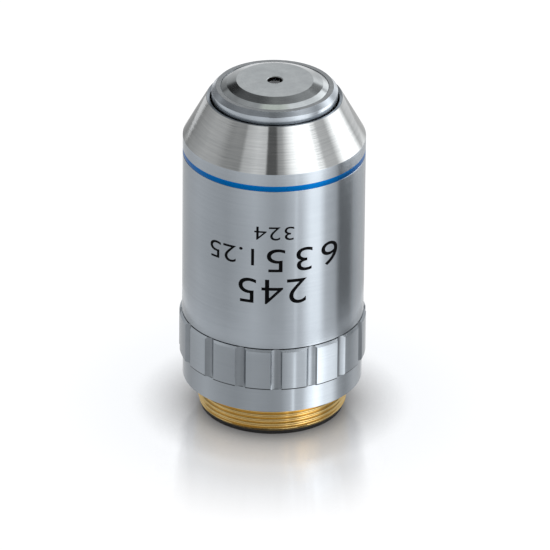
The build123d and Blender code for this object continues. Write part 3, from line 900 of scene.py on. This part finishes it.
def makeWorld():
    world = bpy.data.worlds.new("whiteStudio")
    bpy.context.scene.world = world
    world.use_nodes = True
    tree = world.node_tree
    tree.nodes.clear()
    plain = addNode(tree, "ShaderNodeBackground", {
        "Strength": whiteWorld["strength"], "Color": (1, 1, 1, 1)})
    addNode(tree, "ShaderNodeOutputWorld", {}, {"Surface": plain.outputs[0]})


def hideFromAllButGloss(card):
    card.visible_camera = False
    card.visible_diffuse = False
    card.visible_shadow = False
    card.visible_transmission = False


def makeStudioDome():
    # Cards and flags of the studio, painted inside a dome that only glossy reflections see
    size = studioDome
    deselectAll()
    bpy.ops.mesh.primitive_uv_sphere_add(
        segments=size["steps"], ring_count=size["rings"], radius=size["radius"])
    dome = bpy.context.object
    dome.name = "studioDome"
    material, tree = newMaterial("studioCards")
    look = addNode(tree, "ShaderNodeTexCoord").outputs["Object"]
    out = addNode(tree, "ShaderNodeVectorMath", {"operation": "NORMALIZE"}, {0: look})
    parts = addNode(tree, "ShaderNodeSeparateXYZ", {}, {0: out.outputs[0]})
    place = addAzimuth(tree, parts)
    overhead = linearColour(size["overheadTint"])[:3]
    tint = [part * size["overhead"] / size["peak"] for part in overhead] + [1]
    seen = addRing(tree, place, studioRings["low"], size["peak"]).outputs[0]
    for name, edge in [("middle", "lowTop"), ("high", "middleTop"), (None, "highTop")]:
        low, high = [math.sin(math.radians(angle)) for angle in size[edge]]
        above = addNode(tree, "ShaderNodeMapRange", {
            "interpolation_type": "SMOOTHSTEP", "From Min": low, "From Max": high}, {
            "Value": parts.outputs["Z"]})
        links = {0: above.outputs[0], 6: seen}
        if name:
            links[7] = addRing(tree, place, studioRings[name], size["peak"]).outputs[0]
        mix = addNode(tree, "ShaderNodeMix", {"data_type": "RGBA", 7: tint}, links)
        seen = mix.outputs[2]
    glow = addNode(tree, "ShaderNodeEmission", {"Strength": size["peak"]}, {"Color": seen})
    # The polished floor's own reflection looks through the cards to the white behind them
    rays = addNode(tree, "ShaderNodeLightPath")
    clear = addNode(tree, "ShaderNodeBsdfTransparent")
    both = addNode(tree, "ShaderNodeMixShader", {}, {
        0: rays.outputs["Is Singular Ray"], 1: glow.outputs[0], 2: clear.outputs[0]})
    addNode(tree, "ShaderNodeOutputMaterial", {}, {"Surface": both.outputs[0]})
    material.cycles.emission_sampling = "NONE"
    dome.data.materials.append(material)
    hideFromAllButGloss(dome)


def aroundTent(angle, seenOn, radius):
    # Where round the tent a line of sight from the front lands, turned back by metal at this angle
    return 2 * angle - math.degrees(math.asin(seenOn * math.sin(math.radians(angle)) / radius))


def makeReflectionTent(name):
    size = reflectionTents[name]
    peak = reflectionTents["peak"]
    tall = size["top"] - size["foot"]
    deselectAll()
    bpy.ops.mesh.primitive_cylinder_add(
        vertices=reflectionTents["steps"], radius=size["radius"] * mm, depth=tall * mm,
        end_fill_type="NOTHING", location=(0, 0, (size["foot"] + tall / 2) * mm))
    tent = bpy.context.object
    tent.name = name
    material, tree = newMaterial(name + "PaintedReflection")
    place = addNode(tree, "ShaderNodeNewGeometry")
    parts = addNode(tree, "ShaderNodeSeparateXYZ", {}, {0: place.outputs["Position"]})
    behind = reflectionTents["behind"]
    stops = [
        (aroundTent(angle, size["seenOn"], size["radius"]), light) for angle, light in size["ring"]]
    stops = [(-180, behind)] + stops + [(180, behind)]
    ring = addRing(tree, addAzimuth(tree, parts), stops, peak)
    glow = addNode(tree, "ShaderNodeEmission", {"Strength": peak}, {"Color": ring.outputs[0]})
    rays = addNode(tree, "ShaderNodeLightPath")
    outside = addNode(tree, "ShaderNodeMath", {"operation": "SUBTRACT", 0: 1.0}, {
        1: place.outputs["Backfacing"]})
    through = addNode(tree, "ShaderNodeMath", {"operation": "MAXIMUM"}, {
        0: rays.outputs["Is Singular Ray"], 1: outside.outputs[0]})
    clear = addNode(tree, "ShaderNodeBsdfTransparent")
    both = addNode(tree, "ShaderNodeMixShader", {}, {
        0: through.outputs[0], 1: glow.outputs[0], 2: clear.outputs[0]})
    addNode(tree, "ShaderNodeOutputMaterial", {}, {"Surface": both.outputs[0]})
    material.cycles.emission_sampling = "NONE"
    tent.data.materials.append(material)
    hideFromAllButGloss(tent)


# Camera: long lens, from the front and 27 degrees above
camera = {
    "distance": 1.2, "elevation": 27.2, "pixelsPerMm": 7.35, "frame": 550, "sensor": 36.0,
    "roll": 0.55, "centreX": 273.05, "centreY": 241.4, "middle": 24.5, "clipStart": 0.05,
    "clipEnd": 50}


def makeCamera():
    size = camera
    bpy.ops.object.camera_add()
    eye = bpy.context.object
    tilt = math.radians(size["elevation"])
    centre = Vector((0, 0, size["middle"] * mm))
    back = Vector((0, -math.cos(tilt), math.sin(tilt)))
    up = Vector((0, math.sin(tilt), math.cos(tilt)))
    right = Vector((1, 0, 0))
    perPixel = mm / size["pixelsPerMm"]
    aim = centre + right * (size["frame"] / 2 - size["centreX"]) * perPixel
    aim = aim - up * (size["frame"] / 2 - size["centreY"]) * perPixel
    eye.location = centre + back * size["distance"]
    look = (aim - eye.location).to_track_quat("-Z", "Y")
    roll = Matrix.Rotation(math.radians(size["roll"]), 3, "Z").to_quaternion()
    eye.rotation_mode = "QUATERNION"
    eye.rotation_quaternion = look @ roll
    eye.data.sensor_width = size["sensor"]
    eye.data.lens = size["distance"] / mm * size["pixelsPerMm"] * size["sensor"] / size["frame"]
    eye.data.clip_start = size["clipStart"]
    eye.data.clip_end = size["clipEnd"]
    bpy.context.scene.camera = eye


makeFloor()
makeWorld()
makeStudioDome()
makeReflectionTent("upperTent")
makeReflectionTent("noseTent")
makeReflectionTent("lowerTent")
makeCamera()
bpy.context.scene.view_settings.view_transform = "Standard"
print("stage set")
